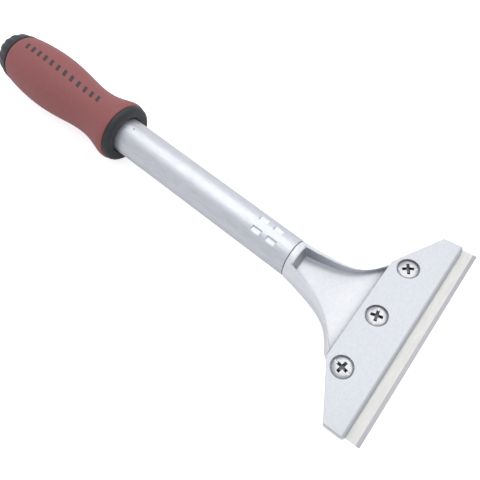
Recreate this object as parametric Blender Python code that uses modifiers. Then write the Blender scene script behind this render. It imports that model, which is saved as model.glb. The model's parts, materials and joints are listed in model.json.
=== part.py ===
# Floor scraper: a long-handled razor scraper with a 4 inch blade held under a clamp plate by three screws.
# World frame, metres: +X runs along the shaft towards the blade, +Z is the clamp plate's side, and the
# origin is under the middle of the tool, level with the lowest point of the handle.
import math

import bmesh
import bpy
from mathutils import Matrix, Vector

MM = 0.001
GAP = 0.3 * MM

# Driving dimensions. Lengths along the shaft are measured from a point on its axis just behind the joint of tube
# and head.
BLADE_LENGTH = 101.6 * MM
BLADE_DEPTH = 15.2 * MM
BLADE_THICKNESS = 0.6 * MM
BLADE_EDGE_THICKNESS = 0.1 * MM
BLADE_BEVEL = 1.7 * MM
BLADE_OFFSET = 0.8 * MM
BLADE_REACH = 29.4 * MM

TUBE_RADIUS = 9.5 * MM
TUBE_WALL = 1.4 * MM
TUBE_BACK = 180.0 * MM

BEND = math.radians(17.2)
PLATE_BACK_X = 38.7 * MM
PLATE_BACK_Z = 2.1 * MM
PLATE_THICKNESS = 3.0 * MM
PLATE_BACK_HALF = 27.5 * MM
PLATE_END_HALF = 51.0 * MM
PLATE_SHOULDER = 13.7 * MM
PLATE_FRONT = 23.1 * MM
PLATE_CORNER = 1.6 * MM
PLATE_CHAMFER = 0.35 * MM

SCREW_ROW = 7.9 * MM
SCREW_SPACING = 27.9 * MM
SCREW_SHANK = 2.4 * MM
SCREW_HOLE = SCREW_SHANK + GAP
HEAD_RADIUS = 4.75 * MM
COUNTERBORE_RADIUS = 5.15 * MM
COUNTERBORE_DEPTH = 1.8 * MM
SCREW_REACH = 4.4 * MM
DRIVE_TURNS = {"left": 32.0, "middle": 103.0, "right": -12.0}

BED_BACK_BOTTOM = 8.3 * MM
BED_FRONT_BOTTOM = 6.2 * MM
BED_MARGIN = 0.35 * MM
WEB_BEND_X = 40.0 * MM

HANDLE_BACK = 193.0 * MM
FLANGE_BACK = 107.8 * MM
FLANGE_FRONT = 105.1 * MM
FLANGE_RADIUS = 15.6 * MM
CORE_RADIUS = 11.2 * MM
GRIP_RADIUS = 16.25 * MM
CAP_FRONT = 182.7 * MM
CAP_RADIUS = 13.7 * MM

JOINT_AHEAD = 1.8 * MM
JOINT_TILT = math.radians(12.3)
SPIGOT_LENGTH = 36.0 * MM
SPIGOT_ROOT = 6.5 * MM
SPIGOT_RADIUS = TUBE_RADIUS - TUBE_WALL - GAP

DIMPLE_LENGTH = 5.2 * MM
DIMPLE_FLOOR = 8.3 * MM
DIMPLE_INNER = 1.9 * MM
DIMPLE_OUTER = 6.0 * MM
DIMPLE_CENTRES = (-18.8 * MM, -10.4 * MM)

ROUND_STEPS = 40

EDGE_AHEAD = PLATE_BACK_X + BLADE_REACH * math.cos(BEND) + PLATE_THICKNESS * math.sin(BEND)
SEAM = Vector(((HANDLE_BACK - EDGE_AHEAD) / 2, 0.0, GRIP_RADIUS))
SHAFT_TO_WORLD = Matrix.Translation(SEAM)
JOINT_TO_WORLD = SHAFT_TO_WORLD @ Matrix.Translation((JOINT_AHEAD, 0.0, 0.0)) @ Matrix.Rotation(-JOINT_TILT, 4, "Y")
PLATE_TO_WORLD = (
    Matrix.Translation(SEAM + Vector((PLATE_BACK_X, 0.0, PLATE_BACK_Z)))
    @ Matrix.Rotation(-BEND, 4, "Y")
)


def new_collection(name):
    made = bpy.data.collections.new(name)
    bpy.context.scene.collection.children.link(made)
    return made


def material(name, colour, roughness, metallic):
    made = bpy.data.materials.new(name)
    made.use_nodes = True
    shader = made.node_tree.nodes["Principled BSDF"]
    shader.inputs["Base Color"].default_value = (*colour, 1.0)
    shader.inputs["Roughness"].default_value = roughness
    shader.inputs["Metallic"].default_value = metallic
    made.diffuse_color = (*colour, 1.0)
    return made


def add_object(name, mesh, collection, matrix, shader=None):
    made = bpy.data.objects.new(name, mesh)
    made.matrix_world = matrix
    collection.objects.link(made)
    if shader:
        mesh.materials.append(shader)
    return made


def add_cutter(name, mesh, matrix):
    made = add_object(name, mesh, cutters, matrix)
    made.hide_render = True
    made.display_type = "WIRE"
    return made


def to_mesh(name, shape, smooth=False):
    bmesh.ops.recalc_face_normals(shape, faces=shape.faces)
    mesh = bpy.data.meshes.new(name)
    shape.to_mesh(mesh)
    shape.free()
    if smooth:
        mesh.shade_smooth()
        mesh.set_sharp_from_angle(angle=math.radians(30))
    return mesh


def box_mesh(name, low, high):
    low = Vector(low)
    high = Vector(high)
    size = high - low
    place = Matrix.Translation((low + high) / 2) @ Matrix.Diagonal((*size, 1.0))
    shape = bmesh.new()
    bmesh.ops.create_cube(shape, size=1.0, matrix=place)
    return to_mesh(name, shape)


def drum_mesh(name, radius, low, high, steps=ROUND_STEPS, centre=(0.0, 0.0)):
    """A cylinder that stands on Z between two heights."""
    shape = bmesh.new()
    place = Matrix.Translation((centre[0], centre[1], (low + high) / 2))
    bmesh.ops.create_cone(
        shape, cap_ends=True, segments=steps, radius1=radius, radius2=radius, depth=high - low, matrix=place
    )
    return to_mesh(name, shape, smooth=True)


def prism_mesh(name, outline, low, high):
    """A flat outline in XY raised from one height to another."""
    shape = bmesh.new()
    corners = [shape.verts.new((x, y, low)) for x, y in outline]
    base = shape.faces.new(corners)
    raised = bmesh.ops.extrude_face_region(shape, geom=[base])
    moved = [item for item in raised["geom"] if isinstance(item, bmesh.types.BMVert)]
    bmesh.ops.translate(shape, verts=moved, vec=(0.0, 0.0, high - low))
    return to_mesh(name, shape)


def turned(name, profile, collection, shader, closed):
    """A profile of (distance along the shaft, radius) pairs turned about the shaft by a Screw modifier."""
    count = len(profile)
    mesh = bpy.data.meshes.new(name)
    points = [(radius, 0.0, along) for along, radius in profile]
    edges = [(i, i + 1) for i in range(count - 1)]
    if closed:
        edges.append((count - 1, 0))
    mesh.from_pydata(points, edges, [])
    made = add_object(name, mesh, collection, SHAFT_TO_WORLD @ Matrix.Rotation(math.pi / 2, 4, "Y"), shader)
    screw = made.modifiers.new("Turn", "SCREW")
    screw.axis = "Z"
    screw.steps = ROUND_STEPS
    screw.render_steps = ROUND_STEPS
    screw.use_merge_vertices = True
    screw.merge_threshold = 0.00001
    screw.use_smooth_shade = True
    return made


def cut(target, cutter, operation="DIFFERENCE"):
    modifier = target.modifiers.new(cutter.name, "BOOLEAN")
    modifier.operation = operation
    modifier.solver = "EXACT"
    modifier.object = cutter


def smoothstep(low, high, value):
    share = min(max((value - low) / (high - low), 0.0), 1.0)
    return share * share * (3 - 2 * share)


def plate_outline(margin, corner):
    """The plate's six-sided outline, (along, across), with the two front corners rounded."""
    side = []
    end = PLATE_END_HALF + margin
    front = PLATE_FRONT
    for step in range(5):
        turn = math.radians(90 * step / 4)
        side.append((front - corner + corner * math.cos(turn), end - corner + corner * math.sin(turn)))
    side.append((PLATE_SHOULDER, end))
    side.append((0.0, PLATE_BACK_HALF + margin))
    return side + [(x, -y) for x, y in reversed(side)]


def screw_places():
    return {"left": SCREW_SPACING, "middle": 0.0, "right": -SCREW_SPACING}


def grip_radius(along):
    """Outer radius of the soft grip: fullest behind the middle, a waist, then a flare at the flange."""
    belly = math.exp(-(((along + 162.0 * MM) / (24.0 * MM)) ** 2))
    flare = smoothstep(-125.0 * MM, -111.0 * MM, along)
    waist = 12.35 * MM
    return waist + 3.5 * MM * belly + (GRIP_RADIUS - waist) * flare


def make_tube():
    """A plain tube whose front end is cut on a slant, so the joint leans back over the top."""
    back = -TUBE_BACK
    front = 6.0 * MM
    bore = TUBE_RADIUS - TUBE_WALL
    profile = [(front, TUBE_RADIUS), (back, TUBE_RADIUS), (back, bore), (front, bore)]
    tube = turned("shaft_tube", profile, parts, bright_metal, closed=True)
    ahead = box_mesh("tube_end_cut", (-GAP / 2, -20 * MM, -20 * MM), (20 * MM, 20 * MM, 20 * MM))
    cut(tube, add_cutter("tube_end_cut", ahead, JOINT_TO_WORLD))
    for row, centre in enumerate(DIMPLE_CENTRES):
        for side in (-1, 1):
            inner = side * DIMPLE_INNER
            outer = side * DIMPLE_OUTER
            low = (centre - DIMPLE_LENGTH / 2, min(inner, outer), DIMPLE_FLOOR)
            high = (centre + DIMPLE_LENGTH / 2, max(inner, outer), TUBE_RADIUS + 2 * MM)
            name = f"dimple_cut_{row}_{'left' if side > 0 else 'right'}"
            cut(tube, add_cutter(name, box_mesh(name, low, high), SHAFT_TO_WORLD))


def web_section(along):
    """Half width, top, bottom and squareness of the casting's web at a distance past the seam."""
    share = min(max(along / PLATE_BACK_X, 0.0), 1.0)
    spread = 9.5 * MM + (6.0 * share**1.5 + 12.0 * share**6) * MM
    top = 9.5 * MM - 8.9 * MM * smoothstep(-6.0 * MM, PLATE_BACK_X, along)
    bottom = -9.5 * MM + 3.3 * MM * smoothstep(0.0, WEB_BEND_X, along) + 0.5 * max(along - WEB_BEND_X, 0.0)
    squareness = 2.0 + 6.0 * smoothstep(1.0 * MM, 26.0 * MM, along)
    return spread, top, bottom, squareness


def web_mesh(name):
    """Loft from the round collar behind the joint to the wide flat end under the clamp plate."""
    shape = bmesh.new()
    stations = [1.0, 4.0, 7.0, 10.0, 14.0, 18.0, 22.0, 26.0, 29.0, 32.0, 34.5, 36.5, 38.5, 40.0, 44.0]
    rings = []
    sides = 40
    for station in [-5.0] + stations:
        half, top, bottom, squareness = web_section(station * MM)
        middle = (top + bottom) / 2
        height = (top - bottom) / 2
        ring = []
        for step in range(sides):
            turn = 2 * math.pi * (step + 0.5) / sides
            across = math.copysign(abs(math.cos(turn)) ** (2 / squareness), math.cos(turn))
            up = math.copysign(abs(math.sin(turn)) ** (2 / squareness), math.sin(turn))
            ring.append(shape.verts.new((station * MM, half * across, middle + height * up)))
        rings.append(ring)
    for near, far in zip(rings, rings[1:]):
        for step in range(sides):
            after = (step + 1) % sides
            shape.faces.new((near[step], near[after], far[after], far[step]))
    shape.faces.new(rings[0])
    shape.faces.new(rings[-1])
    return to_mesh(name, shape)


def pocket_mesh(name):
    """Loft of the open pocket between the ribs: narrow at the collar, wide at the plate, sloped at the back."""
    shape = bmesh.new()
    stations = [
        (2.4, 5.5), (10.0, 6.6), (14.0, 7.8), (18.0, 9.0), (22.0, 10.5), (26.0, 12.4),
        (29.0, 14.3), (32.0, 16.9), (34.5, 19.5), (37.0, 22.6), (39.0, 24.9),
    ]
    rings = []
    for index, (station, half) in enumerate(stations):
        floor = -1.8 - 2.2 * smoothstep(4.0, 34.0, station)
        slope = 3.0 if index == 0 else 0.0
        draft = 0.8
        ring = [
            (station, half, 14.0),
            (station + slope, half - draft, floor + 0.8),
            (station + slope, half - draft - 0.8, floor),
            (station + slope, -half + draft + 0.8, floor),
            (station + slope, -half + draft, floor + 0.8),
            (station, -half, 14.0),
        ]
        rings.append([shape.verts.new((x * MM, y * MM, z * MM)) for x, y, z in ring])
    for near, far in zip(rings, rings[1:]):
        for step in range(len(near)):
            after = (step + 1) % len(near)
            shape.faces.new((near[step], near[after], far[after], far[step]))
    shape.faces.new(rings[0])
    shape.faces.new(rings[-1])
    return to_mesh(name, shape)


def bed_mesh(name):
    """The blade bed: the plate's outline with a small margin, its underside thinner towards the blade."""
    shape = bmesh.new()
    outline = plate_outline(BED_MARGIN, PLATE_CORNER)
    top = -PLATE_THICKNESS - GAP
    corners = [shape.verts.new((x, y, top)) for x, y in outline]
    base = shape.faces.new(corners)
    raised = bmesh.ops.extrude_face_region(shape, geom=[base])
    for item in raised["geom"]:
        if isinstance(item, bmesh.types.BMVert):
            share = item.co.x / PLATE_FRONT
            item.co.z = -(BED_BACK_BOTTOM + (BED_FRONT_BOTTOM - BED_BACK_BOTTOM) * share)
    return to_mesh(name, shape)


def make_casting():
    """A turned spigot joined to the web and the bed, then cut for the pocket, the plate's seat and the screws."""
    profile = [
        (SPIGOT_ROOT, 0.0), (SPIGOT_ROOT, SPIGOT_RADIUS), (-SPIGOT_LENGTH, SPIGOT_RADIUS), (-SPIGOT_LENGTH, 0.0),
    ]
    casting = turned("head_casting", profile, parts, cast_metal, closed=False)
    web = add_cutter("web_body", web_mesh("web_body"), SHAFT_TO_WORLD)
    behind = box_mesh("collar_end_cut", (-20 * MM, -20 * MM, -20 * MM), (GAP / 2, 20 * MM, 20 * MM))
    cut(web, add_cutter("collar_end_cut", behind, JOINT_TO_WORLD))
    bed = add_cutter("bed_body", bed_mesh("bed_body"), PLATE_TO_WORLD)
    cut(casting, web, "UNION")
    cut(casting, bed, "UNION")
    cut(casting, add_cutter("pocket_cut", pocket_mesh("pocket_cut"), SHAFT_TO_WORLD))
    seat_low = (-GAP, -70 * MM, -PLATE_THICKNESS - GAP)
    seat_high = (60 * MM, 70 * MM, 30 * MM)
    cut(casting, add_cutter("seat_cut", box_mesh("seat_cut", seat_low, seat_high), PLATE_TO_WORLD))
    slot_back = BLADE_REACH - BLADE_DEPTH - GAP
    slot_floor = -PLATE_THICKNESS - BLADE_THICKNESS - 2 * GAP
    slot_low = (slot_back, -70 * MM, slot_floor)
    slot_high = (60 * MM, 70 * MM, 0.0)
    cut(casting, add_cutter("blade_seat_cut", box_mesh("blade_seat_cut", slot_low, slot_high), PLATE_TO_WORLD))
    for side, across in screw_places().items():
        name = f"bed_hole_{side}"
        mesh = drum_mesh(name, SCREW_HOLE, -20 * MM, 5 * MM, 24, (SCREW_ROW, across))
        cut(casting, add_cutter(name, mesh, PLATE_TO_WORLD))


def make_plate():
    mesh = prism_mesh("clamp_plate", plate_outline(0.0, PLATE_CORNER), -PLATE_THICKNESS, 0.0)
    plate = add_object("clamp_plate", mesh, parts, PLATE_TO_WORLD, clamp_metal)
    bevel = plate.modifiers.new("Chamfer", "BEVEL")
    bevel.width = PLATE_CHAMFER
    bevel.segments = 1
    bevel.limit_method = "ANGLE"
    bevel.angle_limit = math.radians(60)
    for side, across in screw_places().items():
        name = f"counterbore_{side}"
        mesh = drum_mesh(name, COUNTERBORE_RADIUS, -COUNTERBORE_DEPTH, 5 * MM, 32, (SCREW_ROW, across))
        cut(plate, add_cutter(name, mesh, PLATE_TO_WORLD))
        name = f"plate_hole_{side}"
        mesh = drum_mesh(name, SCREW_HOLE, -8 * MM, 5 * MM, 24, (SCREW_ROW, across))
        cut(plate, add_cutter(name, mesh, PLATE_TO_WORLD))


def make_blade():
    """A flat steel strip whose front edge is ground to a thin edge from both faces."""
    top = -PLATE_THICKNESS - GAP
    middle = top - BLADE_THICKNESS / 2
    back = BLADE_REACH - BLADE_DEPTH
    bevel_back = BLADE_REACH - BLADE_BEVEL
    section = [
        (back, middle + BLADE_THICKNESS / 2), (bevel_back, middle + BLADE_THICKNESS / 2),
        (BLADE_REACH, middle + BLADE_EDGE_THICKNESS / 2), (BLADE_REACH, middle - BLADE_EDGE_THICKNESS / 2),
        (bevel_back, middle - BLADE_THICKNESS / 2), (back, middle - BLADE_THICKNESS / 2),
    ]
    low = -BLADE_LENGTH / 2
    mesh = prism_mesh("blade", section, low, low + BLADE_LENGTH)
    mesh.transform(Matrix.Rotation(math.pi / 2, 4, "X"))
    mesh.transform(Matrix.Translation((0.0, BLADE_OFFSET, 0.0)))
    add_object("blade", mesh, parts, PLATE_TO_WORLD, blade_steel)


def make_screw(side, across):
    """A domed combination screw whose origin is on its own axis, level with the top of the clamp plate."""
    seat = -COUNTERBORE_DEPTH + GAP
    rim = seat + 0.7 * MM
    crown = -0.05 * MM
    dome = []
    for step in range(6):
        turn = math.radians(90 * step / 5)
        dome.append((HEAD_RADIUS * math.sin(turn), rim + (crown - rim) * math.cos(turn)))
    tip = -PLATE_THICKNESS - SCREW_REACH
    profile = dome + [
        (HEAD_RADIUS, seat), (SCREW_SHANK, seat), (SCREW_SHANK, tip + 0.6 * MM),
        (SCREW_SHANK - 0.6 * MM, tip), (0.0, tip),
    ]
    name = f"clamp_screw_{side}"
    mesh = bpy.data.meshes.new(name)
    points = [(radius, 0.0, height) for radius, height in profile]
    mesh.from_pydata(points, [(i, i + 1) for i in range(len(points) - 1)], [])
    place = PLATE_TO_WORLD @ Matrix.Translation((SCREW_ROW, across, 0.0))
    made = add_object(name, mesh, parts, place, screw_zinc)
    screw = made.modifiers.new("Turn", "SCREW")
    screw.steps = 24
    screw.render_steps = 24
    screw.use_merge_vertices = True
    screw.merge_threshold = 0.00001
    drive = place @ Matrix.Rotation(math.radians(DRIVE_TURNS[side]), 4, "Z")
    cuts = {
        "slot": (HEAD_RADIUS + MM, 0.45 * MM, 0.75 * MM),
        "cross_a": (2.4 * MM, 0.5 * MM, 1.15 * MM),
        "cross_b": (0.5 * MM, 2.4 * MM, 1.15 * MM),
    }
    for label, (long_half, wide_half, depth) in cuts.items():
        cutter_name = f"{label}_cut_{side}"
        cutter_mesh = box_mesh(cutter_name, (-long_half, -wide_half, crown - depth), (long_half, wide_half, MM))
        cut(made, add_cutter(cutter_name, cutter_mesh, drive))


def make_core():
    """Hard plastic handle body on the tube, with the flange that shows in front of the grip."""
    bore = TUBE_RADIUS + GAP
    back = -CAP_FRONT + GAP
    profile = [
        (-FLANGE_FRONT - 0.5 * MM, bore), (-FLANGE_FRONT, bore + 1.0 * MM), (-FLANGE_FRONT, 13.6 * MM),
        (-FLANGE_FRONT - 0.5 * MM, 14.7 * MM), (-FLANGE_FRONT - 1.5 * MM, 15.4 * MM),
        (-FLANGE_BACK, FLANGE_RADIUS), (-FLANGE_BACK, CORE_RADIUS), (back, CORE_RADIUS), (back, bore),
    ]
    turned("handle_core", profile, parts, black_plastic, closed=True)


def make_grip():
    front = -FLANGE_BACK - GAP
    back = -CAP_FRONT + GAP
    inner = CORE_RADIUS + GAP
    steps = 18
    outer = []
    for step in range(steps + 1):
        along = front - 1.2 * MM + (back - front + 1.2 * MM) * step / steps
        outer.append((along, grip_radius(along)))
    profile = [(front, inner), (front, 15.6 * MM)] + outer + [(back, inner)]
    turned("handle_grip", profile[1:] + profile[:1], parts, red_rubber, closed=True)


def make_cap():
    """Rounded butt cap with a short plug inside the core."""
    plug = TUBE_RADIUS
    tip = -TUBE_BACK - GAP
    profile = [(tip, 0.0), (tip, plug), (-CAP_FRONT, plug), (-CAP_FRONT, CAP_RADIUS)]
    depth = HANDLE_BACK - CAP_FRONT
    flat = 6.5 * MM
    for step in range(1, 6):
        turn = math.radians(90 * step / 5)
        profile.append((-CAP_FRONT - depth * math.sin(turn), flat + (CAP_RADIUS - flat) * math.cos(turn)))
    profile.append((-HANDLE_BACK, 0.0))
    turned("end_cap", profile, parts, black_plastic, closed=False)


for old in list(bpy.data.objects):
    bpy.data.objects.remove(old, do_unlink=True)

parts = new_collection("floor_scraper")
cutters = new_collection("cutters")
cutters.hide_render = True

bright_metal = material("satin_aluminium", (0.72, 0.72, 0.75), 0.32, 1.0)
cast_metal = material("silver_painted_casting", (0.76, 0.77, 0.80), 0.40, 0.6)
clamp_metal = material("pale_plate_metal", (0.66, 0.68, 0.71), 0.38, 0.7)
blade_steel = material("ground_steel", (0.70, 0.69, 0.67), 0.30, 1.0)
screw_zinc = material("bright_zinc", (0.80, 0.80, 0.82), 0.20, 1.0)
black_plastic = material("black_plastic", (0.022, 0.024, 0.027), 0.45, 0.0)
red_rubber = material("brick_red_rubber", (0.36, 0.13, 0.13), 0.62, 0.0)

make_tube()
make_casting()
make_plate()
make_blade()
for screw_side, screw_across in screw_places().items():
    make_screw(screw_side, screw_across)
make_core()
make_grip()
make_cap()
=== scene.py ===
# %% [markdown]
# # A floor scraper, built around its measured frame
# This lesson models a razor scraper for floors: an aluminium tube with a soft red grip on one end, and a
# cast head that holds a wide blade under a screwed plate on the other. The CAD frame fixes every size.
# Here each piece gets its finer shape and its finish. Lengths are in metres, and +X runs along the tube
# towards the blade.

# %% Load the frame
import json
import math

import bpy
from mathutils import Matrix, Vector

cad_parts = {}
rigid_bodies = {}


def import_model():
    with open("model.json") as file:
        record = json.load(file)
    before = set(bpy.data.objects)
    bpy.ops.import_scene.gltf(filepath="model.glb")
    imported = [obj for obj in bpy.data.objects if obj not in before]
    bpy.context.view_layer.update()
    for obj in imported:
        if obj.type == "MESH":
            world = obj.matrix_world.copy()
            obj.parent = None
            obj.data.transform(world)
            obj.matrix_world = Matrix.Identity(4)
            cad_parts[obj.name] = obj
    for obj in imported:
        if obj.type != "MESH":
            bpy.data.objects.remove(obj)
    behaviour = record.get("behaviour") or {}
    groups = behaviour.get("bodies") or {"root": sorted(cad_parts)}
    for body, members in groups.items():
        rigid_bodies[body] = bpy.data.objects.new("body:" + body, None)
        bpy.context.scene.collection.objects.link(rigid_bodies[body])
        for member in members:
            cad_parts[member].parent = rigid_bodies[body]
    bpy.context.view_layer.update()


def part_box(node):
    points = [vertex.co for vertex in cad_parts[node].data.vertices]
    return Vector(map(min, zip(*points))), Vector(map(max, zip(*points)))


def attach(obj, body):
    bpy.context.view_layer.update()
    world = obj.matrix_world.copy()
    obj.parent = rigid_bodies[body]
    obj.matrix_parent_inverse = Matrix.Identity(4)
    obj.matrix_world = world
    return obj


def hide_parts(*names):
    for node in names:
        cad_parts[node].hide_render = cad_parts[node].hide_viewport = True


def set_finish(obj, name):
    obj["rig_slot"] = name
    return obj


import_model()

MM = 0.001

# %% [markdown]
# ## Where things are
# Two places are used again and again: the seam where the tube meets the head, which lies on the tube's
# axis, and the back edge of the clamp plate. The head is bent up from the tube, so the plate, the screws
# and the blade are modelled flat, with X forward along the plate and Z out of it, and then turned into
# place in one step. The joint between the tube and the head leans back a little, so its plane has its own
# direction, ACROSS_JOINT, and crosses the axis a little ahead of the seam point.

# %% Seam and plate places
TUBE_BACK = 180.0
PLATE_AHEAD = 38.7
PLATE_ABOVE = 2.1
tube_low, tube_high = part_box("shaft_tube")
AXIS_HEIGHT = (tube_low.z + tube_high.z) / 2
SEAM_X = tube_low.x + TUBE_BACK * MM
BEND = math.radians(17.2)
ALONG_PLATE = Vector((math.cos(BEND), 0.0, math.sin(BEND)))
JOINT_TILT = math.radians(12.3)
ACROSS_JOINT = Vector((math.cos(JOINT_TILT), 0.0, math.sin(JOINT_TILT)))
JOINT_AHEAD = Vector((1.8 * MM, 0.0, 0.0))
PLATE_BACK = Vector((SEAM_X + PLATE_AHEAD * MM, 0.0, AXIS_HEIGHT + PLATE_ABOVE * MM))
SHAFT = Matrix.Translation((SEAM_X, 0.0, AXIS_HEIGHT))
HEAD = Matrix.Translation(PLATE_BACK) @ Matrix.Rotation(-BEND, 4, "Y")
print(f"Seam at {SEAM_X / MM:.2f} mm, shaft axis {AXIS_HEIGHT / MM:.2f} mm up")

# %% [markdown]
# ## Camera
# The tool is seen from above and a little from its right, with the handle running away to the upper left.
# The lens is a short one, close to the head, so the blade looks large and the handle shrinks away.

# %% Camera
CAMERA_PLACE = (0.08094, -0.07331, 0.20427)
CAMERA_TURN = (22.126, -2.321, 38.535)
camera_data = bpy.data.cameras.new("studio_camera")
camera_data.lens = 32.01
camera_data.sensor_width = 36.0
camera_data.clip_start = 0.01
camera = bpy.data.objects.new("studio_camera", camera_data)
camera.location = CAMERA_PLACE
camera.rotation_euler = [math.radians(angle) for angle in CAMERA_TURN]
bpy.context.scene.collection.objects.link(camera)
bpy.context.scene.camera = camera
print("Camera is", round(camera.location.length / MM), "mm from the origin")

# %% [markdown]
# ## Floor and light
# A pale floor and broad soft lights give bright metal its long, gentle highlights. The metal mirrors what
# is around it: one large panel overhead and behind makes the white stripe along the tube, and the dimmer
# surroundings give the grey on both sides of it. The floor glows a little, for the camera's rays alone,
# so that it comes out near white without lighting the tool from below.

# %% Floor and light
def add_panel(name, place, size, power, colour):
    """A square area light that faces the middle of the tool."""
    light = bpy.data.lights.new(name, "AREA")
    light.shape = "SQUARE"
    light.size = size
    light.energy = power
    light.color = colour
    made = bpy.data.objects.new(name, light)
    made.location = place
    made.rotation_euler = (-Vector(place)).to_track_quat("-Z", "Y").to_euler()
    bpy.context.scene.collection.objects.link(made)


bpy.ops.mesh.primitive_plane_add(size=4.0, location=(0.0, 0.0, -0.2 * MM))
floor = bpy.context.object
floor.name = "floor"
floor_finish = bpy.data.materials.new("pale_floor")
floor_finish.use_nodes = True
floor_nodes = floor_finish.node_tree
floor_shader = floor_nodes.nodes["Principled BSDF"]
floor_shader.inputs["Base Color"].default_value = (0.86, 0.86, 0.86, 1.0)
floor_shader.inputs["Roughness"].default_value = 0.9
floor_shader.inputs["Emission Color"].default_value = (1.0, 1.0, 1.0, 1.0)
light_path = floor_nodes.nodes.new("ShaderNodeLightPath")
floor_glow = floor_nodes.nodes.new("ShaderNodeMath")
floor_glow.operation = "MULTIPLY"
floor_glow.inputs[1].default_value = 0.65
floor_nodes.links.new(light_path.outputs["Is Camera Ray"], floor_glow.inputs[0])
floor_nodes.links.new(floor_glow.outputs[0], floor_shader.inputs["Emission Strength"])
floor.data.materials.append(floor_finish)
add_panel("overhead_panel", place=(-0.12, 0.17, 0.55), size=0.62, power=1.15, colour=(1.0, 0.995, 0.98))
add_panel("back_panel", place=(-0.05, 0.75, 0.3), size=0.8, power=0.42, colour=(1.0, 1.0, 1.0))
world = bpy.data.worlds.new("studio")
world.use_nodes = True
surroundings = world.node_tree.nodes["Background"]
surroundings.inputs["Color"].default_value = (0.93, 0.95, 1.0, 1.0)
surroundings.inputs["Strength"].default_value = 0.72
bpy.context.scene.world = world
bpy.context.scene.view_settings.view_transform = "Standard"

# %% [markdown]
# ## Small tools for modelling
# Operators act on everything that is selected, so each piece starts with nothing selected. These helpers
# start a piece, pick parts of it by their place, apply a modifier, and put a finished piece on its body.

# %% Modelling helpers
def start_clean():
    """Leave edit mode and select nothing."""
    if bpy.context.object and bpy.context.object.mode != "OBJECT":
        bpy.ops.object.mode_set(mode="OBJECT")
    bpy.ops.object.select_all(action="DESELECT")


def edit_all():
    """Enter edit mode with every vertex selected."""
    bpy.ops.object.mode_set(mode="EDIT")
    bpy.ops.mesh.select_mode(type="VERT")
    bpy.ops.mesh.select_all(action="SELECT")


def pick(test, kind="VERT"):
    """Select what passes a test: a vertex by its place, an edge by its two ends, a face by its middle."""
    piece = bpy.context.object
    bpy.ops.object.mode_set(mode="OBJECT")
    for group in (piece.data.vertices, piece.data.edges, piece.data.polygons):
        group.foreach_set("select", [False] * len(group))
    if kind == "VERT":
        for vertex in piece.data.vertices:
            vertex.select = bool(test(vertex.co))
    elif kind == "EDGE":
        for side in piece.data.edges:
            side.select = bool(test(*[piece.data.vertices[index].co for index in side.vertices]))
    else:
        for face in piece.data.polygons:
            face.select = bool(test(face.center))
    bpy.ops.object.mode_set(mode="EDIT")
    bpy.ops.mesh.select_mode(type=kind)


def finish_mesh(angle=40.0):
    """Leave edit mode with merged vertices, outward faces and smooth shading up to an angle."""
    bpy.ops.object.mode_set(mode="EDIT")
    bpy.ops.mesh.select_all(action="SELECT")
    bpy.ops.mesh.remove_doubles(threshold=0.002 * MM)
    bpy.ops.mesh.normals_make_consistent(inside=False)
    bpy.ops.object.mode_set(mode="OBJECT")
    bpy.ops.object.shade_smooth_by_angle(angle=math.radians(angle))


def block(name, size, middle):
    """A box of a size in millimetres about a middle point."""
    start_clean()
    bpy.ops.mesh.primitive_cube_add(
        size=1.0, location=[value * MM for value in middle], scale=[value * MM for value in size]
    )
    piece = bpy.context.object
    piece.name = name
    bpy.ops.object.transform_apply(location=True, rotation=True, scale=True)
    return piece


def add_modifier(piece, kind, **settings):
    """Add a modifier with its settings and apply it at once."""
    made = piece.modifiers.new(kind.title(), kind)
    for name, value in settings.items():
        setattr(made, name, value)
    start_clean()
    piece.select_set(True)
    bpy.context.view_layer.objects.active = piece
    bpy.ops.object.modifier_apply(modifier=made.name)


def ease_edges(piece, width, angle):
    """Round, by a width in millimetres, the edges sharper than an angle in degrees."""
    limit = math.radians(angle)
    add_modifier(piece, "BEVEL", width=width * MM, segments=2, limit_method="ANGLE", angle_limit=limit)


def combine(piece, tool, operation):
    """Join or cut a piece with another one, which is used up."""
    add_modifier(piece, "BOOLEAN", operation=operation, solver="EXACT", object=tool)
    bpy.data.objects.remove(tool)


def put_in_place(piece, matrix):
    """Move a piece from its own flat frame into the tool's frame, and keep the place in its mesh."""
    start_clean()
    piece.matrix_world = matrix @ piece.matrix_world
    piece.select_set(True)
    bpy.context.view_layer.objects.active = piece
    bpy.ops.object.transform_apply(location=True, rotation=True, scale=True)


def belongs(piece, body, slot, node):
    """Put a piece on its body, give it its finish's slot, and hide the CAD node it stands for."""
    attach(piece, body)
    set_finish(piece, slot)
    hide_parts(node)
    print(f"{piece.name}: {len(piece.data.polygons)} faces on body {body}")


# %% [markdown]
# ## Turned pieces
# The tube, the handle's pieces, the spigot and the screws are all round, so one helper makes them: it adds
# a ring, extrudes it to the next station, and scales it there. Each pair in a profile is a distance along
# the axis and a radius, in millimetres. A profile that comes back to its first pair closes on itself, and
# one that ends at a very small radius closes on the axis.

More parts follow.
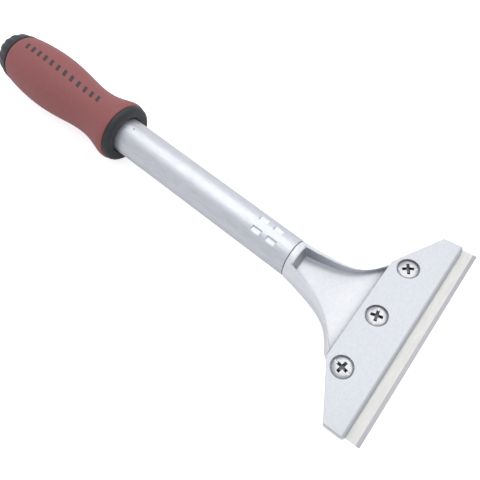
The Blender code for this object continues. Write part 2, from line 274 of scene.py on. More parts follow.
# %% Turned piece helper
def turn_profile(name, profile, sides, along="X"):
    """A round piece about X or Z, from its profile."""
    start_clean()
    upright = (0.0, math.pi / 2, 0.0) if along == "X" else (0.0, 0.0, 0.0)
    index = 0 if along == "X" else 2
    place = [0.0, 0.0, 0.0]
    place[index] = profile[0][0] * MM
    bpy.ops.mesh.primitive_circle_add(
        vertices=sides, radius=profile[0][1] * MM, fill_type="NOTHING", location=place, rotation=upright
    )
    piece = bpy.context.object
    piece.name = name
    piece.data.name = name
    bpy.ops.object.transform_apply(location=True, rotation=True, scale=True)
    bpy.ops.object.mode_set(mode="EDIT")
    bpy.ops.mesh.select_all(action="SELECT")
    for (near, near_radius), (far, far_radius) in zip(profile, profile[1:]):
        step = [0.0, 0.0, 0.0]
        step[index] = (far - near) * MM
        centre = [0.0, 0.0, 0.0]
        centre[index] = far * MM
        growth = [far_radius / near_radius] * 3
        growth[index] = 1.0
        bpy.ops.mesh.extrude_region_move(TRANSFORM_OT_translate={"value": step})
        bpy.ops.transform.resize(value=growth, center_override=centre)
    if profile[-1][1] < 0.05:
        bpy.ops.mesh.merge(type="CENTER")
    if profile[0][1] < 0.05:
        start = profile[0][0] * MM
        pick(lambda co: abs(co[index] - start) < 0.01 * MM and co.yz.length < 0.05 * MM)
        bpy.ops.mesh.merge(type="CENTER")
    finish_mesh()
    return piece


# %% [markdown]
# ## The tube
# The real tube is drawn aluminium with a 1.4 mm wall. Behind the seam, four small pads are pressed into
# it in a square, to lock it on the head's spigot. Each pad is a flat floor, so it is deepest beside the
# middle line and runs out to nothing down the tube's side. The profile has a station at each end of a
# pad, two bisects a side mark the pads' inner walls, and the vertices between are then scaled flat at the
# floor's height. The tube is made a little too long, a bisect slants its front end along the joint, and a
# bridge between the two open rims closes the wall.

# %% Tube
TUBE_OUTSIDE = 9.5
TUBE_INSIDE = 8.1
TUBE_END = 6.0
HALF_JOINT_GAP = 0.1
DIMPLE_FLOOR = 8.3
DIMPLE_MIDDLES = (-18.8, -10.4)
DIMPLE_HALF = 2.6
DIMPLE_SLOPE = 0.3
DIMPLE_INNER = (1.75, 2.1)


def near_dimples(middle):
    """The outer faces on top of the tube, on both sides of the four dimples."""
    return middle.yz.length > 9.0 * MM and middle.z > 0 and -24.0 * MM < middle.x < -6.0 * MM


tube_profile = [(TUBE_END, TUBE_INSIDE), (TUBE_END, TUBE_OUTSIDE)]
for middle in reversed(DIMPLE_MIDDLES):
    for share in (DIMPLE_HALF, DIMPLE_HALF - DIMPLE_SLOPE, 0.0, DIMPLE_SLOPE - DIMPLE_HALF, -DIMPLE_HALF):
        tube_profile.append((middle + share, TUBE_OUTSIDE))
tube_profile += [(station, TUBE_OUTSIDE) for station in (-30.0, -60.0, -90.0, -TUBE_BACK)]
tube_profile += [(-TUBE_BACK, TUBE_INSIDE), (TUBE_END, TUBE_INSIDE)]
tube = turn_profile("tube", tube_profile, 120)
edit_all()
bpy.ops.mesh.bisect(
    plane_co=JOINT_AHEAD - ACROSS_JOINT * HALF_JOINT_GAP * MM, plane_no=ACROSS_JOINT, clear_outer=True
)
bpy.ops.mesh.select_all(action="DESELECT")
bpy.ops.mesh.select_non_manifold()
bpy.ops.mesh.bridge_edge_loops()
for inner in DIMPLE_INNER:
    for side in (1, -1):
        pick(near_dimples, "FACE")
        bpy.ops.mesh.bisect(plane_co=(0.0, side * inner * MM, 0.0), plane_no=(0.0, 1.0, 0.0))
for middle in DIMPLE_MIDDLES:
    reach = (DIMPLE_HALF - DIMPLE_SLOPE + 0.02) * MM
    pick(lambda co: abs(co.x - middle * MM) < reach and abs(co.y) > 2.05 * MM and co.z > DIMPLE_FLOOR * MM)
    bpy.ops.transform.resize(value=(1.0, 1.0, 0.0), center_override=(0.0, 0.0, DIMPLE_FLOOR * MM))
finish_mesh()
ease_edges(tube, 0.13, 28)
tube.data.shade_smooth()
finish_mesh(30)
put_in_place(tube, SHAFT)
belongs(tube, "tool", "satin_aluminium", "shaft_tube")

# %% [markdown]
# ## The handle
# The handle is moulded in two shots: a hard black body, whose flange shows at the front, and a soft red
# sleeve over it. The sleeve has a belly for the palm, a waist for the thumb and a flare that stops the
# hand. A few rings carry that shape, and a subdivision surface smooths it.

# %% Grip
GRIP_BACK = -182.4
GRIP_FRONT = -108.1
GRIP_INSIDE = 11.5
grip_outside = [
    (GRIP_BACK, 13.3), (GRIP_BACK + 0.25, 13.7), (-180.5, 14.15), (-175.0, 14.95), (-167.5, 15.65),
    (-160.0, 15.85), (-152.0, 15.4), (-144.0, 14.35), (-136.0, 13.05), (-129.0, 12.55), (-122.0, 13.1),
    (-116.0, 14.7), (-112.5, 15.85), (-110.6, 16.24), (-109.2, 16.2), (-108.5, 15.95), (GRIP_FRONT, 15.6),
]
grip_inside = [(GRIP_FRONT, 15.2), (GRIP_FRONT, GRIP_INSIDE), (GRIP_BACK, GRIP_INSIDE)]
grip = turn_profile("grip", [(GRIP_BACK, GRIP_INSIDE)] + grip_outside + grip_inside, 64)
add_modifier(grip, "SUBSURF", levels=2, render_levels=2)
finish_mesh()
put_in_place(grip, SHAFT)
belongs(grip, "tool", "brick_red_rubber", "handle_grip")

# %% Hard body and its flange
BODY_BORE = 9.8
BODY_OUTSIDE = 11.2
FLANGE_BACK = -107.8
FLANGE_LIP = -106.2
flange_face = [
    (FLANGE_LIP, BODY_BORE), (-105.7, 9.95), (-105.45, 10.3), (-105.3, 10.9), (-105.2, 12.0),
    (-105.15, 13.2), (-105.25, 14.0), (-105.55, 14.65), (-106.05, 15.15), (-106.7, 15.45), (-107.4, 15.6),
    (-107.7, 15.58),
]
sleeve = [
    (FLANGE_BACK, 15.45), (FLANGE_BACK, BODY_OUTSIDE), (GRIP_BACK, BODY_OUTSIDE), (GRIP_BACK, BODY_BORE),
    (FLANGE_LIP, BODY_BORE),
]
core = turn_profile("handle_body", flange_face + sleeve, 128)
put_in_place(core, SHAFT)
belongs(core, "tool", "black_plastic", "handle_core")

# %% [markdown]
# The butt cap is the same hard plastic. Shallow flutes run round its shoulder, so a few columns of its
# rings are pulled in towards the axis before the surface is smoothed.

# %% Butt cap
CAP_FRONT = -182.7
CAP_BACK = -193.0
PLUG_TIP = -180.4
PLUG_RADIUS = 9.5
FLUTE_COUNT = 16
FLUTE_WIDTH = 9.0
FLUTE_ENDS = (-191.9, -184.0)
FLUTE_PULL = 0.965
cap = turn_profile(
    "butt_cap",
    [
        (PLUG_TIP, 0.01), (PLUG_TIP, PLUG_RADIUS), (CAP_FRONT, PLUG_RADIUS), (CAP_FRONT, 13.35),
        (-182.95, 13.6), (-184.0, 13.55), (-186.4, 13.15), (-188.6, 12.4), (-190.4, 11.4), (-191.8, 10.1),
        (-192.7, 8.4), (CAP_BACK, 6.3), (CAP_BACK, 0.01),
    ],
    96,
)


def in_flute(co):
    turn = math.degrees(math.atan2(co.y, co.z)) % (360 / FLUTE_COUNT)
    return FLUTE_ENDS[0] * MM < co.x < FLUTE_ENDS[1] * MM and turn < FLUTE_WIDTH and co.yz.length > 5 * MM


pick(in_flute)
bpy.ops.transform.resize(value=(1.0, FLUTE_PULL, FLUTE_PULL), center_override=(0.0, 0.0, 0.0))
finish_mesh()
add_modifier(cap, "SUBSURF", levels=1, render_levels=1)
finish_mesh()
put_in_place(cap, SHAFT)
belongs(cap, "tool", "black_plastic", "end_cap")

# %% [markdown]
# ## The cast head
# The head is a die casting: a spigot goes into the tube, a collar meets the tube's end, and a web flares
# out from the collar to the wide blade bed. Two ribs follow the web's edges, with an open pocket between
# them. The web and the pocket are both lofts, each a row of rounded frames bridged together. Booleans
# join and cut them, a voxel remesh makes one skin, and smoothing it rounds every edge as a casting's
# edges are rounded.

# %% Loft helper
def smoothstep(low, high, value):
    """Ease from zero at one value to one at another; the two may come in either order."""
    share = min(max((value - low) / (high - low), 0.0), 1.0)
    return share * share * (3 - 2 * share)


def loft(name, frames):
    """Bridge rounded frames, each (distance along X, half width, low, high, corner) in millimetres."""
    start_clean()
    bpy.ops.mesh.primitive_plane_add(size=1.0, rotation=(0.0, math.pi / 2, 0.0))
    piece = bpy.context.object
    piece.name = name
    bpy.ops.object.transform_apply(location=True, rotation=True, scale=True)
    bpy.ops.object.mode_set(mode="EDIT")
    bpy.ops.mesh.select_mode(type="VERT")
    bpy.ops.mesh.select_all(action="SELECT")
    bpy.ops.mesh.delete(type="VERT")
    for along, half, low, high, corner in frames:
        middle = (along * MM, 0.0, (low + high) / 2 * MM)
        bpy.ops.mesh.primitive_plane_add(size=1.0, location=middle, rotation=(0.0, math.pi / 2, 0.0))
        bpy.ops.transform.resize(value=(1.0, 2 * half * MM, (high - low) * MM), center_override=middle)
        bpy.ops.mesh.bevel(offset=corner * MM, segments=8, affect="VERTICES")
        bpy.ops.mesh.delete(type="ONLY_FACE")
    bpy.ops.mesh.select_all(action="SELECT")
    bpy.ops.mesh.bridge_edge_loops()
    bpy.ops.mesh.select_all(action="DESELECT")
    bpy.ops.mesh.select_non_manifold()
    bpy.ops.mesh.fill_holes(sides=0)
    finish_mesh()
    return piece


# %% Web and pocket
def web_frame(along):
    """One frame of the web: it flares and thins towards the plate, and its round section turns square."""
    share = min(max(along / PLATE_AHEAD, 0.0), 1.0)
    half = 9.5 + 6.0 * share**1.5 + 12.0 * share**6
    high = 9.5 - 8.9 * smoothstep(-6.0, PLATE_AHEAD, along)
    low = -9.5 + 3.3 * smoothstep(0.0, 40.0, along) + 0.5 * max(along - 40.0, 0.0)
    corner = min(half, (high - low) / 2) * 0.98
    return along, half, low, high, corner + (2.2 - corner) * smoothstep(1.0, 30.0, along)


web_stations = [
    -5.0, -2.5, 0.0, 2.0, 4.0, 6.5, 9.0, 12.0, 15.0, 18.0, 21.0, 24.0, 26.5, 29.0, 31.0, 33.0, 35.0, 36.5,
    38.0, 40.0, 44.0,
]
head = loft("head", [web_frame(along) for along in web_stations])
edit_all()
bpy.ops.mesh.bisect(
    plane_co=JOINT_AHEAD + ACROSS_JOINT * HALF_JOINT_GAP * MM,
    plane_no=ACROSS_JOINT,
    use_fill=True,
    clear_inner=True,
)
finish_mesh()
COLLAR_LENGTH = 3.4
POCKET_CORNER = 0.7
POCKET_TOP = 14.0
pocket_walls = [
    (-2.0, 4.9), (4.2, 5.5), (10.0, 6.6), (14.0, 7.8), (18.0, 9.0), (22.0, 10.5), (26.0, 12.4),
    (29.0, 14.3), (32.0, 16.9), (34.5, 19.5), (37.0, 22.6), (39.5, 25.5), (44.0, 31.0),
]
pocket_frames = []
for along, half in pocket_walls:
    floor_height = -1.8 - 2.2 * smoothstep(4.0, 34.0, along)
    pocket_frames.append((along, half, floor_height, POCKET_TOP, POCKET_CORNER))
pocket = loft("pocket", pocket_frames)
edit_all()
bpy.ops.mesh.bisect(
    plane_co=JOINT_AHEAD + ACROSS_JOINT * COLLAR_LENGTH * MM,
    plane_no=ACROSS_JOINT,
    use_fill=True,
    clear_inner=True,
)
finish_mesh()
spigot = turn_profile("spigot", [(-36.0, 0.01), (-36.0, 7.4), (-35.6, 7.8), (6.3, 7.8), (6.3, 0.01)], 64)
combine(head, spigot, "UNION")
put_in_place(head, SHAFT)
put_in_place(pocket, SHAFT)
print("Web and collar:", len(head.data.polygons), "faces")

# %% [markdown]
# ## Plate and bed
# The clamp plate and the blade bed share one outline with six sides: a long front, a shorter back, a slant
# from each end of the back, and two short ends square to the front. One helper cuts it from a block by two
# bisects and rounds the two front corners. Heights are counted from the top of the plate.

# %% Outline block helper
PLATE_THICKNESS = 3.0
PLATE_FRONT = 23.1
PLATE_SHOULDER = 13.7
PLATE_END_HALF = 51.0
PLATE_BACK_HALF = 27.5
PLATE_CORNER = 1.6
BED_MARGIN = 0.35
BED_TOP = -3.3
BED_BACK_BOTTOM = -8.3
BED_RISE = 2.1
BLADE_SEAT_FLOOR = -4.2
BLADE_SEAT_BACK = 13.9
SCREW_HOLE = 2.7


def outline_block(name, margin, low, high):
    """A block with the plate's outline, grown sideways by a margin, between two heights in millimetres."""
    end = PLATE_END_HALF + margin
    back = PLATE_BACK_HALF + margin
    start_clean()
    bpy.ops.mesh.primitive_cube_add(
        size=1.0,
        location=(PLATE_FRONT / 2 * MM, 0.0, (low + high) / 2 * MM),
        scale=(PLATE_FRONT * MM, 2 * end * MM, (high - low) * MM),
    )
    piece = bpy.context.object
    piece.name = name
    bpy.ops.object.transform_apply(location=True, rotation=True, scale=True)
    bpy.ops.object.mode_set(mode="EDIT")
    for side in (1, -1):
        bpy.ops.mesh.select_all(action="SELECT")
        bpy.ops.mesh.bisect(
            plane_co=(0.0, side * back * MM, 0.0),
            plane_no=Vector((-(end - back), side * PLATE_SHOULDER, 0.0)).normalized(),
            use_fill=True,
            clear_outer=True,
        )
    front = (PLATE_FRONT - 0.1) * MM
    side = (end - 0.1) * MM
    pick(lambda top, foot: abs(top.z - foot.z) > 0.5 * MM and top.x > front and abs(top.y) > side, "EDGE")
    bpy.ops.mesh.bevel(offset=PLATE_CORNER * MM, segments=6, affect="EDGES")
    finish_mesh(30)
    return piece


def drum(name, radius, low, high, place, sides=64):
    """A cutter that stands on Z at a place across the plate."""
    piece = turn_profile(name, [(low, 0.01), (low, radius), (high, radius), (high, 0.01)], sides, "Z")
    put_in_place(piece, Matrix.Translation((place[0] * MM, place[1] * MM, 0.0)))
    return piece


# %% [markdown]
# The bed is joined to the web and its underside rises towards the front. Two boxes are then cut away: one
# takes everything above the bed's top, where the plate sits, and one sinks the shallow seat for the blade.

# %% Head with its bed, seats and holes
SCREW_ROW = 7.9
SCREW_ACROSS = {"left": 27.9, "middle": 0.0, "right": -27.9}
SEAT_LENGTH = 60.0
SEAT_WIDTH = 140.0
CAST_VOXEL = 0.38
bed = outline_block("bed", BED_MARGIN, BED_BACK_BOTTOM, BED_TOP)
edit_all()
bpy.ops.mesh.bisect(
    plane_co=(0.0, 0.0, BED_BACK_BOTTOM * MM),
    plane_no=Vector((BED_RISE, 0.0, -PLATE_FRONT)).normalized(),
    use_fill=True,
    clear_outer=True,
)
finish_mesh(30)
put_in_place(bed, HEAD)
combine(head, bed, "UNION")
combine(head, pocket, "DIFFERENCE")
for name, back, low, high in (
    ("plate_seat", -0.3, BED_TOP, 30.0),
    ("blade_seat", BLADE_SEAT_BACK, BLADE_SEAT_FLOOR, 0.0),
):
    middle = (back + SEAT_LENGTH / 2, 0.0, (low + high) / 2)
    seat = block(name, (SEAT_LENGTH, SEAT_WIDTH, high - low), middle)
    put_in_place(seat, HEAD)
    combine(head, seat, "DIFFERENCE")
for across in SCREW_ACROSS.values():
    hole = drum("hole", SCREW_HOLE, -12.0, 2.0, (SCREW_ROW, across), 32)
    put_in_place(hole, HEAD)
    combine(head, hole, "DIFFERENCE")
add_modifier(head, "REMESH", mode="VOXEL", voxel_size=CAST_VOXEL * MM, use_smooth_shade=True)
add_modifier(head, "SMOOTH", factor=0.5, iterations=4)
head.name = "cast_head"

# %% [markdown]
# The pocket gets painted shade: a vertex attribute darkens the casting's colour where its walls stand close,
# in place of the shade and dark reflections a bright casting gets there. It is strong on the walls near the
# collar, fades towards the plate, and spreads a short way over the floor from the foot of each rib.

# %% Painted shade inside the pocket
POCKET_BACK = 3.0
POCKET_FRONT = 38.0
POCKET_LOWEST = -4.3
POCKET_HALF = 25.0


def wall_at(along):
    """Half the pocket's width at one place along the web."""
    for (near, narrow), (far, wide) in zip(pocket_walls, pocket_walls[1:]):
        if near <= along <= far:
            return narrow + (wide - narrow) * (along - near) / (far - near)
    return 0.0


def pocket_shade(spot, normal):
    """How much painted shade darkens the casting at a place in the shaft's frame, in millimetres."""
    rib_top = web_frame(spot.x)[3]
    in_length = POCKET_BACK < spot.x < POCKET_FRONT
    in_height = POCKET_LOWEST < spot.z < rib_top - 0.7
    if not (in_length and in_height and abs(spot.y) < POCKET_HALF):
        return 0.0
    steep = smoothstep(0.95, 0.5, normal.z) if normal.z > -0.3 else 0.0
    faces_in = normal.y * spot.y < 0.1 and spot.z > -4.2
    wall_shade = steep * (1.0 - 0.6 * smoothstep(4.0, 30.0, spot.x)) if faces_in else 0.0
    from_wall = wall_at(spot.x) - abs(spot.y)
    reach = 0.9 + 0.5 * max(rib_top - spot.z - 1.0, 0.0)
    on_floor = from_wall > -0.4 and steep < 0.5
    foot_shade = 0.6 * smoothstep(reach, 0.3 * reach, from_wall) if on_floor else 0.0
    return max(wall_shade, foot_shade)


to_shaft = SHAFT.inverted()
# Painted shade: each vertex gets how strongly its colour is darkened.
shades = [pocket_shade((to_shaft @ vertex.co) / MM, vertex.normal) for vertex in head.data.vertices]
mark = head.data.attributes.new("painted_recess_shade", "FLOAT", "POINT")
mark.data.foreach_set("value", shades)
belongs(head, "tool", "silver_painted_casting", "head_casting")

# %% [markdown]
# The clamp plate is the same outline with no margin. A fine chamfer runs round its edges, and each screw
# has a counterbore that its head sinks into.

# %% Clamp plate
COUNTERBORE = 5.15
COUNTERBORE_FLOOR = -1.8
plate = outline_block("top_plate", 0.0, -PLATE_THICKNESS, 0.0)
ease_edges(plate, 0.35, 60)
for across in SCREW_ACROSS.values():
    middle = (SCREW_ROW, across)
    combine(plate, drum("counterbore", COUNTERBORE, COUNTERBORE_FLOOR, 4.0, middle), "DIFFERENCE")
    combine(plate, drum("plate_hole", SCREW_HOLE, -6.0, 4.0, middle), "DIFFERENCE")
finish_mesh(30)
put_in_place(plate, HEAD)
belongs(plate, "plate", "pale_plate_metal", "clamp_plate")

# %% [markdown]
# ## Clamp screws
# Each screw has a low dome with a cross recess and a slot, so that either driver fits. The cross is two
# crossed bars trimmed by a cone, which gives it the tapered wings of a real recess.

# %% Clamp screws
def paint_recess_shade(piece):
    """Write a face attribute that is one deep inside the drive, where painted shade darkens the finish."""
    values = []
    for face in piece.data.polygons:
        radius = face.center.xy.length / MM
        skin = -0.05
        for (near, high), (far, low) in zip(DOME, DOME[1:]):
            if near <= radius <= far:
                skin = high + (low - high) * (radius - near) / (far - near)
        values.append(1.0 if radius < 3.4 and -2.5 < face.center.z / MM < skin - 0.35 else 0.0)
    mark = piece.data.attributes.new("painted_recess_shade", "FLOAT", "FACE")
    mark.data.foreach_set("value", values)


WING_LENGTH = 6.2
WING_WIDTH = 1.4
SLOT_LENGTH = 12.0
SLOT_WIDTH = 0.74
SLOT_FLOOR = -0.58
DOME = [(0.01, -0.05), (1.2, -0.09), (2.4, -0.2), (3.4, -0.38), (4.1, -0.56), (4.55, -0.74), (4.75, -0.95)]
SHANK = [(4.75, -1.35), (4.6, -1.5), (2.4, -1.5), (2.4, -6.8), (1.8, -7.4), (0.01, -7.4)]
SCREW_TURNS = {"left": 32.0, "middle": 103.0, "right": -12.0}
for side, across in SCREW_ACROSS.items():
    screw = turn_profile(f"screw_{side}", [(height, radius) for radius, height in DOME + SHANK], 64, "Z")
    wings = block("wings", (WING_LENGTH, WING_WIDTH, 4.0), (0.0, 0.0, 0.0))
    combine(wings, block("wing", (WING_WIDTH, WING_LENGTH, 4.0), (0.0, 0.0, 0.0)), "UNION")
    taper = turn_profile("taper", [(-2.1, 0.01), (-2.1, 1.2), (0.6, 3.6), (0.6, 0.01)], 32, "Z")
    combine(wings, taper, "INTERSECT")
    combine(screw, block("slot", (SLOT_LENGTH, SLOT_WIDTH, 2.0), (0.0, 0.0, SLOT_FLOOR + 1.0)), "DIFFERENCE")
    combine(screw, wings, "DIFFERENCE")
    ease_edges(screw, 0.07, 40)
    finish_mesh(30)
    # Painted shade: faces deep in the drive are marked for a dark tint.
    paint_recess_shade(screw)
    turned = Matrix.Rotation(math.radians(SCREW_TURNS[side]), 4, "Z")
    put_in_place(screw, HEAD @ Matrix.Translation((SCREW_ROW * MM, across * MM, 0.0)) @ turned)
    belongs(screw, f"screw_{side}", "bright_zinc", f"clamp_screw_{side}")

# %% [markdown]
# ## Finishes
# Every finish is a Principled shader fed by a few small node groups. One group makes grain: a noise that
# can be stretched along the tube, as drawing and brushing leave it, and mapped between two values. One
# group makes a row of slim slanted bars, printed on the grip. The finishes use object coordinates, and
# every piece sits at the origin, so one scale suits all of them.

# %% Node helpers
def add_node(tree, kind, **settings):
    """Add a node to a tree and set its properties."""
    made = tree.nodes.new(kind)
    for name, value in settings.items():
        setattr(made, name, value)
    return made


def maths(tree, operation, first, second=None):
    """A Math node; each input is a socket or a number."""
    made = add_node(tree, "ShaderNodeMath", operation=operation)
    for index, value in enumerate((first, second)):
        if value is None:
            continue
        if isinstance(value, (int, float)):
            made.inputs[index].default_value = value
        else:
            tree.links.new(value, made.inputs[index])
    return made.outputs[0]


def new_group(name, inputs, outputs):
    """A shader group with its sockets; gives the tree, its input node and its output node."""
    tree = bpy.data.node_groups.new(name, "ShaderNodeTree")
    for label, kind, value in inputs:
        socket = tree.interface.new_socket(name=label, in_out="INPUT", socket_type=kind)
        socket.default_value = value
    for label, kind in outputs:
        tree.interface.new_socket(name=label, in_out="OUTPUT", socket_type=kind)
    return tree, tree.nodes.new("NodeGroupInput"), tree.nodes.new("NodeGroupOutput")


# %% Grain group
grain_group, grain_in, grain_out = new_group(
    "grain",
    [
        ("Scale", "NodeSocketFloat", 1000.0),
        ("Stretch", "NodeSocketVector", (1.0, 1.0, 1.0)),
        ("Low", "NodeSocketFloat", 0.0),
        ("High", "NodeSocketFloat", 1.0),
    ],
    [("Value", "NodeSocketFloat"), ("Height", "NodeSocketFloat")],
)
where = add_node(grain_group, "ShaderNodeTexCoord")
stretch = add_node(grain_group, "ShaderNodeVectorMath", operation="MULTIPLY")
noise = add_node(grain_group, "ShaderNodeTexNoise")
noise.inputs["Detail"].default_value = 5.0
noise.inputs["Roughness"].default_value = 0.6
spread = add_node(grain_group, "ShaderNodeMapRange")
spread.inputs["From Min"].default_value = 0.32
spread.inputs["From Max"].default_value = 0.68
grain_group.links.new(where.outputs["Object"], stretch.inputs[0])
grain_group.links.new(grain_in.outputs["Stretch"], stretch.inputs[1])
grain_group.links.new(stretch.outputs[0], noise.inputs["Vector"])
grain_group.links.new(grain_in.outputs["Scale"], noise.inputs["Scale"])
grain_group.links.new(noise.outputs["Fac"], spread.inputs["Value"])
grain_group.links.new(grain_in.outputs["Low"], spread.inputs["To Min"])
grain_group.links.new(grain_in.outputs["High"], spread.inputs["To Max"])
grain_group.links.new(spread.outputs["Result"], grain_out.inputs["Value"])
grain_group.links.new(noise.outputs["Fac"], grain_out.inputs["Height"])
print("Group:", grain_group.name)

# %% [markdown]
# The bar row is plain arithmetic. Distance along the tube, leaned over by the distance across, is wrapped
# at the pitch; the bar is where the wrapped value is small, and limits trim the row to its band on top of
# the grip.

# %% Bar row group
bars_group, bars_in, bars_out = new_group(
    "bar_row",
    [
        ("Pitch", "NodeSocketFloat", 4.6 * MM),
        ("Share", "NodeSocketFloat", 0.42),
        ("Lean", "NodeSocketFloat", 0.35),
    ],
    [("Mask", "NodeSocketFloat")],
)
where = add_node(bars_group, "ShaderNodeTexCoord")
split = add_node(bars_group, "ShaderNodeSeparateXYZ")
bars_group.links.new(where.outputs["Object"], split.inputs[0])
along, across, above = split.outputs
leaned = maths(bars_group, "ADD", along, maths(bars_group, "MULTIPLY", across, bars_in.outputs["Lean"]))
pitches = maths(bars_group, "DIVIDE", maths(bars_group, "ADD", leaned, 1.0), bars_in.outputs["Pitch"])
mask = maths(bars_group, "LESS_THAN", maths(bars_group, "FRACT", pitches), bars_in.outputs["Share"])
for distance, side, limit in (
    (along, "GREATER_THAN", SEAM_X - 177.0 * MM),
    (along, "LESS_THAN", SEAM_X - 122.0 * MM),
    (across, "GREATER_THAN", -0.4 * MM),
    (across, "LESS_THAN", 3.2 * MM),
    (above, "GREATER_THAN", AXIS_HEIGHT),
):
    mask = maths(bars_group, "MULTIPLY", mask, maths(bars_group, side, distance, limit))
bars_group.links.new(mask, bars_out.inputs["Mask"])
print("Group:", bars_group.name)


# %% Finish helper
def finish(name, dark, light, metallic, roughness, scale, stretch, bump):
    """A Principled finish whose colour, roughness and bump follow the grain; bump is in millimetres."""
    made = bpy.data.materials.new(name)
    made.use_nodes = True
    tree = made.node_tree
    shader = tree.nodes["Principled BSDF"]
    shader.inputs["Metallic"].default_value = metallic
    grain = {}
    for label, low, high in (("colour", 0.0, 1.0), ("rough", *roughness)):
        node = add_node(tree, "ShaderNodeGroup", node_tree=grain_group, label=label)
        node.inputs["Scale"].default_value = scale if label == "colour" else scale * 2.3
        node.inputs["Stretch"].default_value = stretch
        node.inputs["Low"].default_value = low
        node.inputs["High"].default_value = high
        grain[label] = node
    blend = add_node(tree, "ShaderNodeMix", data_type="RGBA", label="base colour")
    blend.inputs["A"].default_value = (*dark, 1.0)
    blend.inputs["B"].default_value = (*light, 1.0)
    tree.links.new(grain["colour"].outputs["Value"], blend.inputs["Factor"])
    tree.links.new(blend.outputs["Result"], shader.inputs["Base Color"])
    tree.links.new(grain["rough"].outputs["Value"], shader.inputs["Roughness"])
    raised = add_node(tree, "ShaderNodeBump")
    raised.inputs["Strength"].default_value = 1.0
    raised.inputs["Distance"].default_value = bump * MM
    tree.links.new(grain["rough"].outputs["Height"], raised.inputs["Height"])
    tree.links.new(raised.outputs["Normal"], shader.inputs["Normal"])
    return made, tree, shader


def tint(tree, shader, mask, colour):
    """Blend the base colour towards another one where a mask is one."""
    before = shader.inputs["Base Color"].links[0].from_socket
    blend = add_node(tree, "ShaderNodeMix", data_type="RGBA", label="tint")
    blend.inputs["B"].default_value = (*colour, 1.0)
    tree.links.new(before, blend.inputs["A"])
    tree.links.new(mask, blend.inputs["Factor"])
    tree.links.new(blend.outputs["Result"], shader.inputs["Base Color"])


# %% [markdown]
# The four metals differ in tint, polish and grain. The tube is satin with fine lines along its length,
# the casting has a silver paint with a faint orange peel, the clamp plate is a little greyer, and the
# screws are bright zinc. The blade's ground edge is darker than its flat, so its finish finds the edge by
# distance along the blade's own plane. A small dark nick marks the tube near the grip. The pocket of the
# casting and the screws' drive recesses take painted shade, a darker tint where their attribute says so.

# %% Metals
finishes = {}
NICK_BACK = -99.5
NICK_TURN = math.radians(7.0)
NICK_RADIUS = 0.5
GROUND_WIDTH = 1.7
satin, satin_tree, satin_shader = finish(
    "satin_aluminium",
    dark=(0.67, 0.685, 0.725),
    light=(0.77, 0.782, 0.81),
    metallic=0.9,
    roughness=(0.37, 0.47),
    scale=900.0,
    stretch=(0.2, 1.0, 1.0),
    bump=0.004,
)
where = add_node(satin_tree, "ShaderNodeTexCoord")
apart = add_node(satin_tree, "ShaderNodeVectorMath", operation="DISTANCE")
nick_side = TUBE_OUTSIDE * math.sin(NICK_TURN)
nick_height = TUBE_OUTSIDE * math.cos(NICK_TURN)
apart.inputs[1].default_value = SHAFT @ (Vector((NICK_BACK, nick_side, nick_height)) * MM)
satin_tree.links.new(where.outputs["Object"], apart.inputs[0])
nick = maths(satin_tree, "LESS_THAN", apart.outputs["Value"], NICK_RADIUS * MM)
tint(satin_tree, satin_shader, nick, (0.33, 0.33, 0.35))
finishes["satin_aluminium"] = satin
paint, paint_tree, paint_shader = finish(
    "silver_painted_casting",
    dark=(0.86, 0.87, 0.895),
    light=(0.93, 0.935, 0.945),
    metallic=0.6,
    roughness=(0.36, 0.47),
    scale=700.0,
    stretch=(1.0, 1.0, 1.0),
    bump=0.012,
)
# Painted shade: the attribute tints the casting darker in the pocket, near its walls and rib feet.
shade = add_node(paint_tree, "ShaderNodeAttribute", attribute_name="painted_recess_shade")
tint(paint_tree, paint_shader, shade.outputs["Fac"], (0.42, 0.435, 0.475))
finishes["silver_painted_casting"] = paint
finishes["pale_plate_metal"] = finish(
    "pale_plate_metal",
    dark=(0.585, 0.60, 0.63),
    light=(0.645, 0.66, 0.69),
    metallic=0.7,
    roughness=(0.34, 0.46),
    scale=1300.0,
    stretch=(1.0, 0.5, 1.0),
    bump=0.003,
)[0]
zinc, zinc_tree, zinc_shader = finish(
    "bright_zinc",
    dark=(0.50, 0.505, 0.52),
    light=(0.64, 0.64, 0.65),
    metallic=1.0,
    roughness=(0.2, 0.32),
    scale=1500.0,
    stretch=(1.0, 1.0, 1.0),
    bump=0.003,
)
# Painted shade: the attribute tints the drive's cross and slot near black.
painted_recess_shade = add_node(zinc_tree, "ShaderNodeAttribute", attribute_name="painted_recess_shade")
tint(zinc_tree, zinc_shader, painted_recess_shade.outputs["Fac"], (0.11, 0.115, 0.12))
finishes["bright_zinc"] = zinc
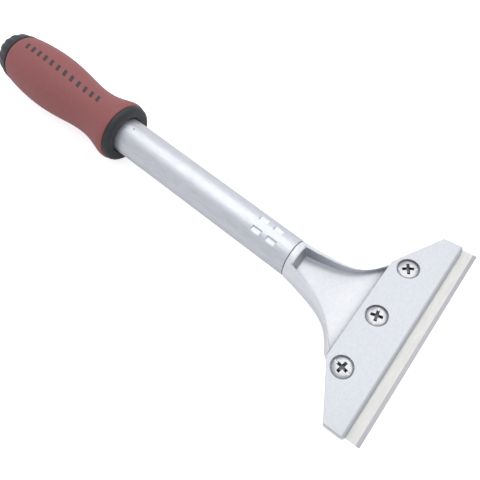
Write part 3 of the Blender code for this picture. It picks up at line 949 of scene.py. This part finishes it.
steel, steel_tree, steel_shader = finish(
    "ground_steel",
    dark=(0.56, 0.56, 0.535),
    light=(0.62, 0.62, 0.60),
    metallic=0.8,
    roughness=(0.3, 0.4),
    scale=1100.0,
    stretch=(1.0, 0.12, 1.0),
    bump=0.003,
)
where = add_node(steel_tree, "ShaderNodeTexCoord")
forward = add_node(steel_tree, "ShaderNodeVectorMath", operation="DOT_PRODUCT")
blade = bpy.data.objects["blade"]
edge_line = max(vertex.co.dot(ALONG_PLATE) for vertex in blade.data.vertices)
forward.inputs[1].default_value = ALONG_PLATE
steel_tree.links.new(where.outputs["Object"], forward.inputs[0])
ground = maths(steel_tree, "GREATER_THAN", forward.outputs["Value"], edge_line - GROUND_WIDTH * MM)
tint(steel_tree, steel_shader, ground, (0.44, 0.425, 0.45))
finishes["ground_steel"] = steel
print("Metals:", sorted(finishes))

# %% [markdown]
# The plastic and the rubber are matt, with a fine moulded texture. The printed bars on the grip stand
# where such a handle carries its mark; they are a plain pattern.

# %% Plastic and rubber
finishes["black_plastic"] = finish(
    "black_plastic",
    dark=(0.022, 0.023, 0.026),
    light=(0.034, 0.036, 0.04),
    metallic=0.0,
    roughness=(0.4, 0.54),
    scale=1500.0,
    stretch=(1.0, 1.0, 1.0),
    bump=0.012,
)[0]
rubber, rubber_tree, rubber_shader = finish(
    "brick_red_rubber",
    dark=(0.30, 0.09, 0.088),
    light=(0.35, 0.11, 0.108),
    metallic=0.0,
    roughness=(0.48, 0.6),
    scale=1200.0,
    stretch=(1.0, 1.0, 1.0),
    bump=0.01,
)
bars = add_node(rubber_tree, "ShaderNodeGroup", node_tree=bars_group, label="printed bars")
tint(rubber_tree, rubber_shader, bars.outputs["Mask"], (0.055, 0.04, 0.042))
finishes["brick_red_rubber"] = rubber
for item in list(bpy.data.objects):
    if item.type == "MESH" and item.get("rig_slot"):
        item.data.materials.clear()
        item.data.materials.append(finishes[item["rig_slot"]])
blade.data.materials.clear()
blade.data.materials.append(finishes["ground_steel"])
print("Finishes:", sorted(finishes))
